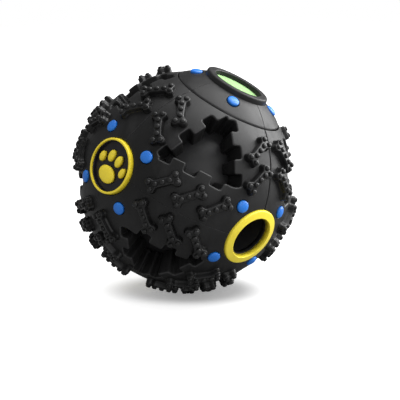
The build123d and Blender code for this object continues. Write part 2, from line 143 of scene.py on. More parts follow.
PEG_PLACES = (
    (-6.5, -1.75), (-6.5, 1.75), (-3.5, 0.0), (0.0, 0.0), (3.5, 0.0), (6.5, -1.75), (6.5, 1.75),
)

LYING = np.array(
    Matrix.Rotation(radians(PORT_DIP), 3, "Y") @ Matrix.Rotation(radians(BALL_ROLL), 3, "X")
)
X, Y, Z = np.eye(3)
PORTS = {  # axis of each port, and what is up on its face
    "treat": (X, Z),
    "front": (-Y, Z),
    "rear": (Y, Z),
    "far": (-X, Z),
    "base": (-Z, X),
    "cover": (Z, X),
}
BADGE_PORTS = ("front", "rear", "far", "base")


# Points and faces. A shape is a dict of points, faces and, for each point, how far it is on an edge.


def unit(vectors):
    """Vectors at length 1."""
    return vectors / np.linalg.norm(vectors, axis=-1, keepdims=True)


def shape_of(points, faces, edge=None):
    """A shape, with no edges marked unless they are given."""
    points = np.asarray(points, float)
    return {
        "points": points,
        "faces": [tuple(int(i) for i in face) for face in faces],
        "edge": np.zeros(len(points)) if edge is None else np.asarray(edge, float),
    }


def joined(shapes):
    """Several shapes as one."""
    faces, start = [], 0
    for shape in shapes:
        faces += [tuple(i + start for i in face) for face in shape["faces"]]
        start += len(shape["points"])
    points = np.concatenate([shape["points"] for shape in shapes])
    return shape_of(points, faces, np.concatenate([shape["edge"] for shape in shapes]))


def moved(shape, turn, shift=(0, 0, 0)):
    """A shape turned by a matrix, then shifted."""
    return shape_of(shape["points"] @ turn.T + np.array(shift), shape["faces"], shape["edge"])


def at_port(name):
    """Matrix from a port's own axes, with z out of the port and y up on its face."""
    axis, up = PORTS[name]
    return np.column_stack([np.cross(up, axis), up, axis])


def lathe(profile, segments, closed=True):
    """Shape turned about z from (radius, height) points, anticlockwise; a radius of 0 is a tip."""
    turns = np.arange(segments) * 2 * pi / segments
    points, rings = [], []
    for radius, height in profile:
        ring = [len(points)] * segments
        if radius > 0:
            ring = list(range(len(points), len(points) + segments))
            points += [(radius * cos(t), radius * sin(t), height) for t in turns]
        else:
            points.append((0, 0, height))
        rings.append(ring)
    pairs = list(zip(rings, rings[1:]))
    if closed:
        pairs.append((rings[-1], rings[0]))
    faces = []
    for low, high in pairs:
        for i in range(segments):
            j = (i + 1) % segments
            corners = (low[i], low[j], high[j], high[i])
            faces.append(tuple(dict.fromkeys(corners)))
    return shape_of(points, faces)


def eased(polygon, radii, steps=5):
    """Closed polygon with each corner eased by its radius."""
    polygon = np.asarray(polygon, float)
    points = []
    for before, corner, after, radius in zip(
        np.roll(polygon, 1, 0), polygon, np.roll(polygon, -1, 0), radii
    ):
        room = CORNER_SHARE * min(np.linalg.norm(before - corner), np.linalg.norm(after - corner))
        reach = min(radius, room)
        if reach <= 0:
            points.append(corner)
            continue
        start = corner + unit(before - corner) * reach
        end = corner + unit(after - corner) * reach
        for t in np.linspace(0, 1, steps):
            points.append((1 - t) ** 2 * start + 2 * t * (1 - t) * corner + t**2 * end)
    return np.array(points)


def spaced(polygon, spacing):
    """Closed polygon with points added along its long sides."""
    points = []
    for here, following in zip(polygon, np.roll(polygon, -1, 0)):
        count = max(1, ceil(np.linalg.norm(following - here) / spacing))
        for step in range(count):
            points.append(here + (following - here) * step / count)
    return np.array(points)


def smooth_loop(corners, steps):
    """Closed smooth curve through points."""
    corners = np.asarray(corners, float)
    before, after = np.roll(corners, 1, 0), np.roll(corners, -1, 0)
    later = np.roll(corners, -2, 0)
    rows = []
    for t in np.arange(steps) / steps:
        rows.append(
            0.5 * (2 * corners + t * (after - before)
                   + t**2 * (2 * before - 5 * corners + 4 * after - later)
                   + t**3 * (3 * corners - before - 3 * after + later))
        )
    return np.stack(rows, 1).reshape(-1, 2)


def inside(points, polygon):
    """Whether each point of the plane lies inside a polygon."""
    x, y = points[:, 0], points[:, 1]
    result = np.zeros(len(points), bool)
    for (x0, y0), (x1, y1) in zip(polygon, np.roll(polygon, -1, 0)):
        if y0 == y1:
            continue
        crossed = (y0 > y) != (y1 > y)
        result ^= crossed & (x < (x1 - x0) * (y - y0) / (y1 - y0) + x0)
    return result


def filled(loops, points):
    """Triangles between flat loops, the first one outside, through the given points as well."""
    flat = np.concatenate(loops + [points]) if len(points) else np.concatenate(loops)
    edges, start = [], 0
    for loop in loops:
        count = len(loop)
        edges += [(start + i, start + (i + 1) % count) for i in range(count)]
        start += count
    found = delaunay_2d_cdt([Vector(p) for p in flat], edges, [], 0, 1e-7)
    origin = [first[0] for first in found[3]]
    triangles = np.array([[origin[i] for i in face] for face in found[2]])
    middles = flat[triangles].mean(1)
    keep = inside(middles, loops[0])
    for hole in loops[1:]:
        keep &= ~inside(middles, hole)
    return triangles[keep]


def union_outline(polygons):
    """Outline of overlapping flat polygons, anticlockwise."""
    corners = [Vector(p) for polygon in polygons for p in polygon]
    faces, start = [], 0
    for polygon in polygons:
        faces.append(list(range(start, start + len(polygon))))
        start += len(polygon)
    points, _, triangles, _, _, owners = delaunay_2d_cdt(corners, [], faces, 0, 1e-6)
    following = {}
    sides = set()
    for triangle, owner in zip(triangles, owners):
        if owner:
            sides |= {(a, b) for a, b in zip(triangle, triangle[1:] + triangle[:1])}
    for a, b in sides:
        if (b, a) not in sides:
            following[a] = b
    first = max(following, key=lambda i: points[i].length)
    loop, here = [first], following[first]
    while here != first:
        loop.append(here)
        here = following[here]
    outline = np.array([points[i] for i in loop])
    ahead = unit(np.roll(outline, -1, 0) - outline)
    behind = unit(outline - np.roll(outline, 1, 0))
    bends = np.abs(ahead[:, 0] * behind[:, 1] - ahead[:, 1] * behind[:, 0]) > SLIGHT_BEND
    outline = outline[bends]
    return outline[np.linalg.norm(np.roll(outline, -1, 0) - outline, axis=1) > SHORT_SIDE]


# Panels of the tread. A rim is an edge of a panel, followed with the rubber on its left.


def even_directions(count):
    """Directions spread evenly over a ball."""
    index = np.arange(count) + 0.5
    height = 1 - 2 * index / count
    turn = index * pi * (1 + sqrt(5))
    flat = np.sqrt(1 - height**2)
    return np.column_stack([flat * np.cos(turn), flat * np.sin(turn), height])


FACE_DIRECTIONS = even_directions(int(4 * pi * BALL_RADIUS**2 / (CELL_SHARE * SPACING**2)))


def rim_sides(directions):
    """For each point of a rim, the way into the rubber along the face, longer at corners."""
    ahead = unit(np.roll(directions, -1, 0) - directions)
    left = unit(np.cross(directions, ahead))
    before = np.roll(left, 1, 0)
    return (left + before) / (1 + (left * before).sum(1, keepdims=True))


def rim_rows(directions, rounds, wall_rows):
    """Rows of points from the face over the rounded edge and down the wall."""
    sides = rim_sides(directions)
    rows = []
    for turn in np.linspace(0, pi / 2, EDGE_STEPS + 1):
        inset = rounds * (1 - sin(turn))
        height = BALL_RADIUS - rounds * (1 - cos(turn))
        place = unit(directions * BALL_RADIUS + sides * inset[:, None])
        rows.append(place * height[:, None])
    return rows + wall_rows


def port_wall(directions, port):
    """Wall rows where a panel meets a port's ring: down to its seat, in, and to the underside."""
    axis = PORTS[port][0]
    out = unit(directions - np.outer(directions @ axis, axis))
    seat_radius, seat, hole = BADGE_SEAT_RADIUS, BADGE_SEAT, 0.0
    if port == "treat":
        seat_radius, seat, hole = RING_SEAT_RADIUS, RING_SEAT, CHUTE_HOLE_RADIUS
    lean = asin(max(seat_radius / BALL_RADIUS, hole / SEAT_RADIUS))
    inward = out * sin(lean) + axis * cos(lean)
    return [out * seat_radius + axis * seat, inward * seat / cos(lean), inward * SEAT_RADIUS]


def straight_wall(directions):
    """Wall rows straight towards the ball's centre."""
    heights = (BADGE_SEAT, RING_SEAT, SEAT_RADIUS)
    return [directions * height for height in heights]


def arc(axis, start, end, angle, count):
    """Directions on a circle about an axis, from one side to another a quarter turn on."""
    turns = np.linspace(0, pi / 2, count)[:, None]
    spread = np.cos(turns) * start + np.sin(turns) * end
    return cos(angle) * axis + sin(angle) * spread


def circle_hole(centre, radius):
    """Rim of a round hole, followed with the rubber on its left."""
    across = unit(np.cross(centre, X + Y / 2 + Z / 3))
    up = np.cross(centre, across)
    count = max(12, round(2 * pi * radius / EDGE_SPACING))
    turns = -np.arange(count)[:, None] * 2 * pi / count
    return unit(centre * BALL_RADIUS + radius * (np.cos(turns) * across + np.sin(turns) * up))


def panel_shape(outer, holes, middle):
    """Closed panel from its outer rim and its holes' rims: (directions, rounds, wall rows)."""
    across = unit(np.cross(middle, X - Y / 2 + Z / 3))
    up = np.cross(middle, across)

    def flat(places):
        """Places on the ball, seen from its centre on a plane before the panel."""
        return np.column_stack([places @ across, places @ up]) / (places @ middle)[:, None]

    rims = [rim_rows(*rim) for rim in [outer] + holes]
    loops = [flat(rows[0]) for rows in rims]
    spots = FACE_DIRECTIONS[FACE_DIRECTIONS @ middle > PANEL_SPREAD]
    free = inside(flat(spots), loops[0])
    for hole in loops[1:]:
        free &= ~inside(flat(spots), hole)
    spots = spots[free] * BALL_RADIUS
    rim_points = np.concatenate([rows[0] for rows in rims])
    clear = np.array([((rim_points - spot) ** 2).sum(1).min() > SPACING**2 / 2 for spot in spots])
    spots = spots[clear]
    triangles = filled(loops, flat(spots))

    points, faces, edge = [], [], []
    top_index, under_index, start = [], [], 0
    for rows in rims:
        count = len(rows[0])
        for depth in range(len(rows) - 1):
            here, under = start + depth * count, start + (depth + 1) * count
            for i in range(count):
                j = (i + 1) % count
                faces.append((here + i, under + i, under + j, here + j))
        top_index += range(start, start + count)
        under_index += range(start + (len(rows) - 1) * count, start + len(rows) * count)
        points += rows
        for depth in range(len(rows)):
            edge.append(np.full(count, 1.0 if 0 < depth < EDGE_STEPS else 0.0))
        start += count * len(rows)
    top_index += range(start, start + len(spots))
    under_index += range(start + len(spots), start + 2 * len(spots))
    points += [spots, unit(spots) * SEAT_RADIUS]
    edge.append(np.zeros(2 * len(spots)))
    top_index, under_index = np.array(top_index), np.array(under_index)
    faces += [tuple(t) for t in top_index[triangles]]
    faces += [tuple(t[::-1]) for t in under_index[triangles]]
    return shape_of(np.concatenate(points), faces, np.concatenate(edge))


def window_rim(ports):
    """Rim of the notched window between three ports."""
    turns = [radians(90 + 120 * corner) for corner in range(3)]
    polygons = [[(2 * WINDOW_REACH * cos(t), 2 * WINDOW_REACH * sin(t)) for t in turns]]
    for side, phase in enumerate(NOTCH_PHASE_SHARES):
        turn = np.array(Matrix.Rotation(radians(120 * side), 2))
        for step in (-1, 0, 1):
            left = (phase + step) * NOTCH_PITCH - NOTCH_WIDTH / 2
            low, high = -WINDOW_REACH - NOTCH_DEPTH, NOTCH_LAP - WINDOW_REACH
            right = left + NOTCH_WIDTH
            notch = np.array([(left, low), (right, low), (right, high), (left, high)])
            polygons.append([tuple(p) for p in notch @ turn.T])
    outline = union_outline(polygons)
    outline = spaced(eased(outline, [WINDOW_CORNER_ROUND] * len(outline)), EDGE_SPACING)[::-1]
    axes = [PORTS[port][0] for port in ports]
    out = unit(sum(axes))
    right = unit(np.cross(axes[2], out))
    up = np.cross(out, right)
    return unit(out * BALL_RADIUS + outline[:, :1] * right + outline[:, 1:] * up)


def stud_direction(axis, others):
    """Direction of the stud by a port, between two other ports."""
    lean = radians(STUD_ANGLE)
    return cos(lean) * axis + sin(lean) * unit(others[0] + others[1])


def stud_rim(axis, others):
    """Hole for that stud."""
    rim = circle_hole(stud_direction(axis, others), STUD_HOLE_RADIUS)
    return rim, np.full(len(rim), STUD_HOLE_ROUND), straight_wall(rim)


def edge_angle(port):
    """Angle from a port's axis to the edge of the panels round it."""
    if port == "cover":
        return radians(COVER_EDGE_ANGLE)
    return asin((RING_SEAT_RADIUS if port == "treat" else BADGE_SEAT_RADIUS) / BALL_RADIUS)


def seam_of(*ports):
    """Half gap and edge rounding of the seam between two ports."""
    if "cover" not in ports:
        return CLOSED_SEAM
    return OPEN_SEAM if "treat" in ports or "far" in ports else SOFT_SEAM


def tread_panel(ports):
    """Panel between three ports, with its window and stud holes."""
    axes = [PORTS[port][0] for port in ports]
    order = [0, 1, 2] if np.dot(np.cross(axes[0], axes[1]), axes[2]) > 0 else [1, 0, 2]
    names, corners = [ports[i] for i in order], [axes[i] for i in order]
    runs, rounds, walls = [], [], []
    for here in range(3):
        a, b, c = corners[here], corners[(here + 1) % 3], corners[(here + 2) % 3]
        start, port = edge_angle(names[here]), names[(here + 1) % 3]
        gap, seam_round = seam_of(names[here], port)
        next_gap = seam_of(port, names[(here + 2) % 3])[0]
        rim_angle = edge_angle(port)
        end = pi / 2 - rim_angle
        count = ceil((end - start) * BALL_RADIUS / EDGE_SPACING)
        along = np.linspace(start, end, count + 1)[1:-1, None]
        seam = np.cos(along) * a + np.sin(along) * b
        seam = unit(seam * BALL_RADIUS + c * gap)
        runs.append(seam)
        rounds.append(np.full(len(seam), seam_round))
        walls.append(straight_wall(seam))
        count = ceil(pi / 2 * sin(rim_angle) * BALL_RADIUS / EDGE_SPACING)
        bend = arc(b, a, c, rim_angle, count)
        bend = unit(bend * BALL_RADIUS + (bend @ a < ON_PLANE)[:, None] * a * next_gap
                    + (bend @ c < ON_PLANE)[:, None] * c * gap)
        runs.append(bend)
        rounds.append(np.full(len(bend), COVER_SEAT_ROUND if port == "cover" else PORT_ROUND))
        walls.append(straight_wall(bend) if port == "cover" else port_wall(bend, port))
    wall_rows = [np.concatenate([wall[depth] for wall in walls]) for depth in range(3)]
    outer = (np.concatenate(runs), np.concatenate(rounds), wall_rows)
    window = window_rim(ports)
    holes = [(window, np.full(len(window), WINDOW_ROUND), straight_wall(window))]
    for i, port in enumerate(ports):
        if port != "cover":
            holes.append(stud_rim(axes[i], axes[:i] + axes[i + 1:]))
    return panel_shape(outer, holes, unit(sum(axes)))


def cover_quarter(a, b):
    """Quarter of the sounder's cover between two ports, from its edge to under the collar."""
    low = radians(COVER_EDGE_ANGLE) - COVER_GAP / BALL_RADIUS
    high = asin(COLLAR_SEAT_RADIUS / BALL_RADIUS)
    seam_count = ceil((low - high) * BALL_RADIUS / EDGE_SPACING)
    fall = np.linspace(low, high, seam_count + 1)[1:-1, None]
    outer_arc = arc(Z, a, b, low, ceil(pi / 2 * sin(low) * BALL_RADIUS / EDGE_SPACING))
    inner_arc = arc(Z, b, a, high, ceil(pi / 2 * sin(high) * BALL_RADIUS / EDGE_SPACING))
    runs = [
        outer_arc,
        np.cos(fall) * Z + np.sin(fall) * b,
        inner_arc,
        np.cos(fall[::-1]) * Z + np.sin(fall[::-1]) * a,
    ]
    (gap_a, round_a), (gap_b, round_b) = (SOFT_SEAM if axis @ X else CLOSED_SEAM for axis in (a, b))
    rounds = [COVER_ROUND, round_b, COVER_INNER_ROUND, round_a]
    rounds = np.concatenate([np.full(len(run), value) for run, value in zip(runs, rounds)])
    rim = np.concatenate(runs)
    rim = unit(rim * BALL_RADIUS + (rim @ a < ON_PLANE)[:, None] * a * gap_b
               + (rim @ b < ON_PLANE)[:, None] * b * gap_a)
    outer = (rim, rounds, straight_wall(rim))
    return panel_shape(outer, [stud_rim(Z, (a, b))], unit(a + b + 3 * Z))


def cover_lift(directions):
    """How far the cover's face stands above the ball in some directions."""
    along = COVER_DOME_CENTRE * np.clip(directions @ Z, -1, 1)
    reach = along + np.sqrt(COVER_DOME_RADIUS**2 - COVER_DOME_CENTRE**2 + along**2)
    return np.clip(reach - BALL_RADIUS, 0, None)


def bulged(shape):
    """A shape of the cover, raised to the cover's rounder face."""
    directions, heights = unit(shape["points"]), np.linalg.norm(shape["points"], axis=1)
    depth = np.clip((heights - SEAT_RADIUS) / (BALL_RADIUS - SEAT_RADIUS), 0, 1)
    heights = heights + cover_lift(directions) * depth
    return shape_of(directions * heights[:, None], shape["faces"], shape["edge"])


def collar():
    """Raised collar of the cover round the sounder's end."""
    profile = [
        (COLLAR_HOLE_RADIUS, COLLAR_LOW),
        (COLLAR_HOLE_RADIUS + COLLAR_LOW_WALL, COLLAR_LOW),
        (COLLAR_SEAT_RADIUS - COLLAR_SEAT_GAP, COLLAR_FOOT),
        (COLLAR_FOOT_RADIUS, COLLAR_FOOT),
        (COLLAR_TOP_RADIUS, COLLAR_TOP),
        (COLLAR_HOLE_RADIUS, COLLAR_TOP),
    ]
    rounds = [0, 0, 0, 0, COLLAR_OUTER_ROUND, COLLAR_INNER_ROUND]
    return lathe(eased(profile, rounds, ROUND_STEPS), RING_SEGMENTS)


# Lugs, studs and badges


def lug_frames():
    """Outward and lengthwise direction of every lug."""
    frames = []

    def line(start, end, pairs, apex, end_angle):
        """Pairs of lugs along the line between two ports; apex is which way they point."""
        across = np.cross(start, end)
        for along in np.radians(np.linspace(LUG_PORT_ANGLE, 90 - end_angle, pairs)):
            spoke = start * cos(along) + end * sin(along)
            forward = end * cos(along) - start * sin(along)
            for side in (-1, 1):
                aside, lean = radians(side * LUG_SIDE_ANGLE), radians(LUG_SLANT)
                out = spoke * cos(aside) + across * sin(aside)
                sideways = across * cos(aside) - spoke * sin(aside)
                frames.append((out, sideways * side * sin(lean) + forward * apex * cos(lean)))

    middle = (X, Y, -X, -Y)
    for here, following in zip(middle, middle[1:] + middle[:1]):
        rising = here @ (X - Y) > 0  # the pairs point one way all round, as on a tyre
        line(here, following, 3, 1, LUG_PORT_ANGLE)
        line(here, Z, 2, -1 if rising else 1, COVER_EDGE_ANGLE + LUG_COVER_ANGLE)
        line(here, -Z, 3, 1 if rising else -1, LUG_PORT_ANGLE)
    return frames


def on_ball(flat, heights):
    """Flat points about a place on the ball's face, laid over the ball at their heights."""
    place = unit(np.column_stack([flat, np.full(len(flat), BALL_RADIUS)]))
    return place * (BALL_RADIUS + heights)[:, None] - Z * BALL_RADIUS


def bone():
    """One bone-shaped lug, lengthwise along x, its foot in the ball's face."""
    quarter = np.array(BONE_QUARTER)
    half = np.concatenate([quarter, (quarter * (1, -1))[-2:0:-1]])
    outline = np.concatenate([half, (quarter * (-1, -1))[:-1], (quarter * (-1, 1))[:0:-1]])
    outline = smooth_loop(outline[::-1], 3)
    ahead = unit(np.roll(outline, -1, 0) - np.roll(outline, 1, 0))
    inward = np.column_stack([-ahead[:, 1], ahead[:, 0]])
    profile = list(BONE_FOOT)
    for turn in np.linspace(0, pi / 2, EDGE_STEPS + 1):
        inset = BONE_DRAFT + BONE_ROUND * (1 - cos(turn))
        profile.append((inset, BONE_HEIGHT - BONE_ROUND * (1 - sin(turn))))
    count = len(outline)
    rows = [on_ball(outline + inward * inset, np.full(count, height)) for inset, height in profile]
    spine = np.linspace((-BONE_SPINE, 0.0), (BONE_SPINE, 0.0), BONE_SPINE_POINTS)
    cap = filled([outline + inward * profile[-1][0]], spine)
    faces = []
    for depth in range(len(rows) - 1):
        here, above = depth * count, (depth + 1) * count
        for i in range(count):
            j = (i + 1) % count
            faces.append((here + i, here + j, above + j, above + i))
    faces += [tuple(t) for t in cap + (len(rows) - 1) * count]
    faces.append(tuple(range(count))[::-1])
    points = np.concatenate(rows + [on_ball(spine, np.full(len(spine), BONE_HEIGHT))])
    foot_rows = len(BONE_FOOT)
    edge = [np.full(count, 1.0 if depth >= foot_rows else 0.0) for depth in range(len(rows))]
    return shape_of(points, faces, np.concatenate(edge + [np.zeros(len(spine))]))


def peg():
    """Round peg on top of a lug, standing on the lug's top."""
    low = BONE_HEIGHT - PEG_ROOT
    profile = [(0, low), (PEG_RADIUS + PEG_FLARE, low), (PEG_RADIUS, low + PEG_FOOT)]
    profile += [(PEG_RADIUS * share, PEG_TOP - down) for share, down in PEG_CROWN]
    shape = lathe(profile, PEG_SEGMENTS, closed=False)
    shape["edge"] = np.where(shape["points"][:, 2] > PEG_TOP - PEG_CROWN[0][1], 1.0, 0.0)
    return shape


def stud():
    """Domed head of a blue stud."""
    profile = [(0, STUD_SEAT), (STUD_RADIUS, STUD_SEAT), (STUD_RADIUS, STUD_RIM)]
    for turn in np.linspace(0.12, 1, 9) * pi / 2:
        profile.append((STUD_RADIUS * cos(turn), STUD_RIM + (STUD_TOP - STUD_RIM) * sin(turn)))
    profile[-1] = (0, STUD_TOP)
    return lathe(profile, STUD_SEGMENTS, closed=False)


# Geometry Nodes that set copies of a shape out over the ball


def set_out_tree():
    """Tree that sets a shape on each point, turned to the point's own directions."""
    tree = bpy.data.node_groups.new("set_out", "GeometryNodeTree")
    for name, kind in (
        ("Places", "NodeSocketGeometry"),
        ("Shape", "NodeSocketObject"),
        ("Lift", "NodeSocketFloat"),
        ("Finish", "NodeSocketMaterial"),
    ):
        tree.interface.new_socket(name, in_out="INPUT", socket_type=kind)
    tree.interface.new_socket("Pieces", in_out="OUTPUT", socket_type="NodeSocketGeometry")

    def node(kind, settings, links):
        """Adds a node with its settings and the links to its inputs."""
        made = tree.nodes.new(kind)
        for name, value in settings.items():
            setattr(made, name, value)
        for name, source in links.items():
            tree.links.new(source, made.inputs[name])
        return made

    given = tree.nodes.new("NodeGroupInput").outputs
    ways = {}
    for name in ("out", "along"):
        way = node("GeometryNodeInputNamedAttribute", {"data_type": "FLOAT_VECTOR"}, {})
        way.inputs["Name"].default_value = name
        ways[name] = way.outputs["Attribute"]
    turn = node("FunctionNodeAxesToRotation", {"primary_axis": "Z", "secondary_axis": "X"}, {
        "Primary Axis": ways["out"], "Secondary Axis": ways["along"]})
    lift = node("ShaderNodeVectorMath", {"operation": "SCALE"}, {
        "Vector": ways["out"], "Scale": given["Lift"]})
    places = node("GeometryNodeSetPosition", {}, {
        "Geometry": given["Places"], "Offset": lift.outputs["Vector"]})
    shape = node("GeometryNodeObjectInfo", {}, {"Object": given["Shape"]})
    copies = node("GeometryNodeInstanceOnPoints", {}, {
        "Points": places.outputs["Geometry"], "Instance": shape.outputs["Geometry"],
        "Rotation": turn.outputs["Rotation"]})
    real = node("GeometryNodeRealizeInstances", {}, {"Geometry": copies.outputs["Instances"]})
    finish = node("GeometryNodeSetMaterial", {}, {
        "Geometry": real.outputs["Geometry"], "Material": given["Finish"]})
    node("NodeGroupOutput", {}, {"Pieces": finish.outputs["Geometry"]})
    return tree


def mesh_of(name, shape):
    """Mesh of a shape, in metres, smooth, with its edges marked."""
    mesh = bpy.data.meshes.new(name)
    mesh.from_pydata((shape["points"] * MM).tolist(), [], shape["faces"])
    edge = mesh.attributes.new("edge", "FLOAT", "POINT")
    edge.data.foreach_set("value", shape["edge"].astype(np.float32))
    mesh.shade_smooth()
    mesh.validate()
    return mesh


def linked(name, data):
    """Object of a mesh, lamp or camera, in the scene."""
    made = bpy.data.objects.new(name, data)
    bpy.context.scene.collection.objects.link(made)
    return made


def settled(piece):
    """A piece with its modifiers made part of its mesh."""
    graph = bpy.context.evaluated_depsgraph_get()
    mesh = bpy.data.meshes.new_from_object(piece.evaluated_get(graph), depsgraph=graph)
    piece.modifiers.clear()
    piece.data = mesh
    return piece


def shaded(piece):
    """A piece whose broad faces keep their own shading beside rounded edges."""
    piece.modifiers.new("broad_faces", "WEIGHTED_NORMAL")
    return settled(piece)


def belongs(piece, nodes):
    """Has a finished piece ride on the ball and stand for its CAD nodes."""
    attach(piece, "ball")
    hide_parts(*nodes)


def solid_piece(name, shape, finish, nodes):
    """Piece from one shape about the ball's own axes."""
    piece = linked(name, mesh_of(name, moved(shape, LYING)))
    piece.data.materials.append(finish)
    belongs(shaded(piece), nodes)


SET_OUT = set_out_tree()
SET_OUT_INPUTS = {
    item.name: item.identifier for item in SET_OUT.interface.items_tree if item.in_out == "INPUT"
}


def set_out_piece(name, shape, frames, lift, finish, nodes):
    """Piece from copies of a shape, each at (outward, lengthwise) directions, at a height."""
    pattern = linked(f"{name}_pattern", mesh_of(f"{name}_pattern", shape))
    out, along = (np.array([ways[i] for ways in frames]) @ LYING.T for i in (0, 1))
    places = bpy.data.meshes.new(name)
    places.from_pydata([(0, 0, 0)] * len(frames), [], [])
    for label, ways in (("out", out), ("along", along)):
        attribute = places.attributes.new(label, "FLOAT_VECTOR", "POINT")
        attribute.data.foreach_set("vector", ways.astype(np.float32).ravel())
    piece = linked(name, places)
    spread = piece.modifiers.new("set_out", "NODES")
    spread.node_group = SET_OUT
    spread[SET_OUT_INPUTS["Shape"]] = pattern
    spread[SET_OUT_INPUTS["Lift"]] = lift * MM
    spread[SET_OUT_INPUTS["Finish"]] = finish
    settled(piece)
    bpy.data.objects.remove(pattern)
    belongs(shaded(piece), nodes)


# Finishes


class Term:
    """A value in a finish's node tree, with arithmetic."""

    def __init__(self, finish, socket):
        self.finish, self.socket = finish, socket

    def maths(self, operation, *values):
        """One step of arithmetic as a node."""
        return self.finish.node("ShaderNodeMath", {"operation": operation}, enumerate(values))

    def __add__(self, other):
        return self.maths("ADD", self, other)

    def __sub__(self, other):
        return self.maths("SUBTRACT", self, other)

    def __rsub__(self, other):
        return self.maths("SUBTRACT", other, self)

    def __mul__(self, other):
        return self.maths("MULTIPLY", self, other)

    __radd__ = __add__


class Finish:
    """A material under construction."""

    def __init__(self, name, **constants):
        self.material = bpy.data.materials.new(name)
        self.material.use_nodes = True
        self.tree = self.material.node_tree
        self.shader = self.tree.nodes["Principled BSDF"]
        for label, value in constants.items():
            self.shader.inputs[label.replace("_", " ")].default_value = value
        self.place = self.node("ShaderNodeTexCoord", output="Object")

    def node(self, kind, settings=(), values=(), output=0):
        """Adds a node: its settings first, then the values or links of its sockets."""
        made = self.tree.nodes.new(kind)
        for name, value in dict(settings).items():
            setattr(made, name, value)
        for name, value in dict(values).items():
            self.feed(made.inputs[name], value)
        return Term(self, made.outputs[output])

    def feed(self, socket, value):
        """Sets a socket to a value, or links a term to it."""
        if isinstance(value, Term):
            self.tree.links.new(value.socket, socket)
        else:
            socket.default_value = value

    def noise(self, size, detail=2.0, stretch=(1, 1, 1)):
        """Noise whose grains are about a size across, in millimetres."""
        place = self.node("ShaderNodeMapping", {}, {"Vector": self.place, "Scale": stretch})
        return self.node("ShaderNodeTexNoise", {}, {
            "Vector": place, "Scale": 1 / (size * MM), "Detail": detail})

    def ramp(self, value, low, high, start=0.0, end=1.0):
        """A value between two bounds, mapped to a new range."""
        return self.node("ShaderNodeMapRange", {}, enumerate((value, low, high, start, end)))

    def mix(self, share, first, second):
        """Colour between two colours."""
        return self.node("ShaderNodeMix", {"data_type": "RGBA"}, {0: share, 6: first, 7: second}, 2)

    def marked(self, name):
        """The piece's own attribute."""
        return self.node("ShaderNodeAttribute", {"attribute_name": name}, output="Fac")

    def show(self, colour, roughness, relief, depth):
        """Feeds the shader: colour, roughness, and a relief whose depth is in millimetres."""
        self.feed(self.shader.inputs["Base Color"], colour)
        self.feed(self.shader.inputs["Roughness"], roughness)
        normal = self.node("ShaderNodeBump", {}, {
            "Height": relief, "Strength": 1.0, "Distance": depth * MM})
        self.feed(self.shader.inputs["Normal"], normal)
        return self.material


def rgb(*levels):
    """Colour from linear levels."""
    return (*levels, 1.0)


def tread_rubber(name, deep, pale, roughness, edge_highlight_share):
    """Black satin rubber: fine mould grain, paler edges as a painted highlight, a trace of dust."""
    finish = Finish(name, Specular_IOR_Level=0.3)
    grain = finish.noise(0.35, 2)
    cloud = finish.noise(14, 4)
    smear = finish.noise(5, 3, (1, 1, 0.35))
    # where rounded edges take a painted highlight, patchy through the cloud noise
    edge = finish.marked("edge") * finish.ramp(cloud, 0.35, 0.65, 0.3, 1.0)
    dusty = finish.ramp(cloud * smear, 0.2, 0.36)
    colour = finish.mix(dusty, rgb(deep, deep, deep * 1.02), rgb(pale, pale, pale * 1.02))
    # painted highlight: edges mixed towards a paler grey
    colour = finish.mix(edge * edge_highlight_share, colour, rgb(0.045, 0.045, 0.046))
    gloss = roughness + dusty * 0.1 + grain * 0.06 - edge * 0.08
    return finish.show(colour, gloss, grain + smear * 1.5, 0.03)


def moulded_plastic(name, pale, deep, roughness):
    """Injection-moulded plastic: flow streaks and a slightly uneven gloss."""
    finish = Finish(name)
    flow = finish.noise(9, 3, (1, 0.4, 1))
    haze = finish.noise(2.2, 3)
    grain = finish.noise(0.3, 2)
    share = finish.ramp(flow * 0.7 + haze * 0.3, 0.35, 0.65)
    colour = finish.mix(share, rgb(*deep), rgb(*pale))
    gloss = roughness + haze * 0.1 + grain * 0.04
    return finish.show(colour, gloss, flow * 2 + grain * 0.3, 0.03)


def turned_metal(name, pale, deep, roughness):
    """Metal with fine turning lines."""
    finish = Finish(name, Metallic=1.0)
    lines = finish.noise(0.25, 2, (0.1, 0.1, 1))
    stain = finish.noise(6, 3)
    colour = finish.mix(finish.ramp(stain, 0.35, 0.7), rgb(*pale), rgb(*deep))
    return finish.show(colour, roughness + lines * 0.15 + stain * 0.05, lines, 0.01)


def soft_foam():
    """Dark cellular rubber."""
    finish = Finish("soft_foam")
    cells = finish.node("ShaderNodeTexVoronoi", {}, {
        "Vector": finish.place, "Scale": 1 / (0.7 * MM)})
    cloud = finish.noise(5, 3)
    colour = finish.mix(cloud, rgb(0.02, 0.02, 0.021), rgb(0.045, 0.045, 0.047))
    return finish.show(colour, 0.75 + cloud * 0.1, cells, 0.15)


RUBBER = tread_rubber("tread_rubber", 0.0105, 0.016, 0.4, 0.75)
# darker copy of the tread rubber for the lugs: painted shade, with a weaker painted edge highlight
LUG_SHADED_RUBBER = tread_rubber("lug_shaded_rubber", 0.006, 0.01, 0.27, 0.3)
CAPSULE = moulded_plastic("capsule_plastic", (0.016, 0.016, 0.017), (0.011, 0.011, 0.012), 0.36)
BADGE_BLACK = moulded_plastic("badge_black", (0.016, 0.014, 0.02), (0.011, 0.01, 0.014), 0.24)
YELLOW = moulded_plastic("yellow_plastic", (0.88, 0.7, 0.035), (0.8, 0.62, 0.026), 0.3)
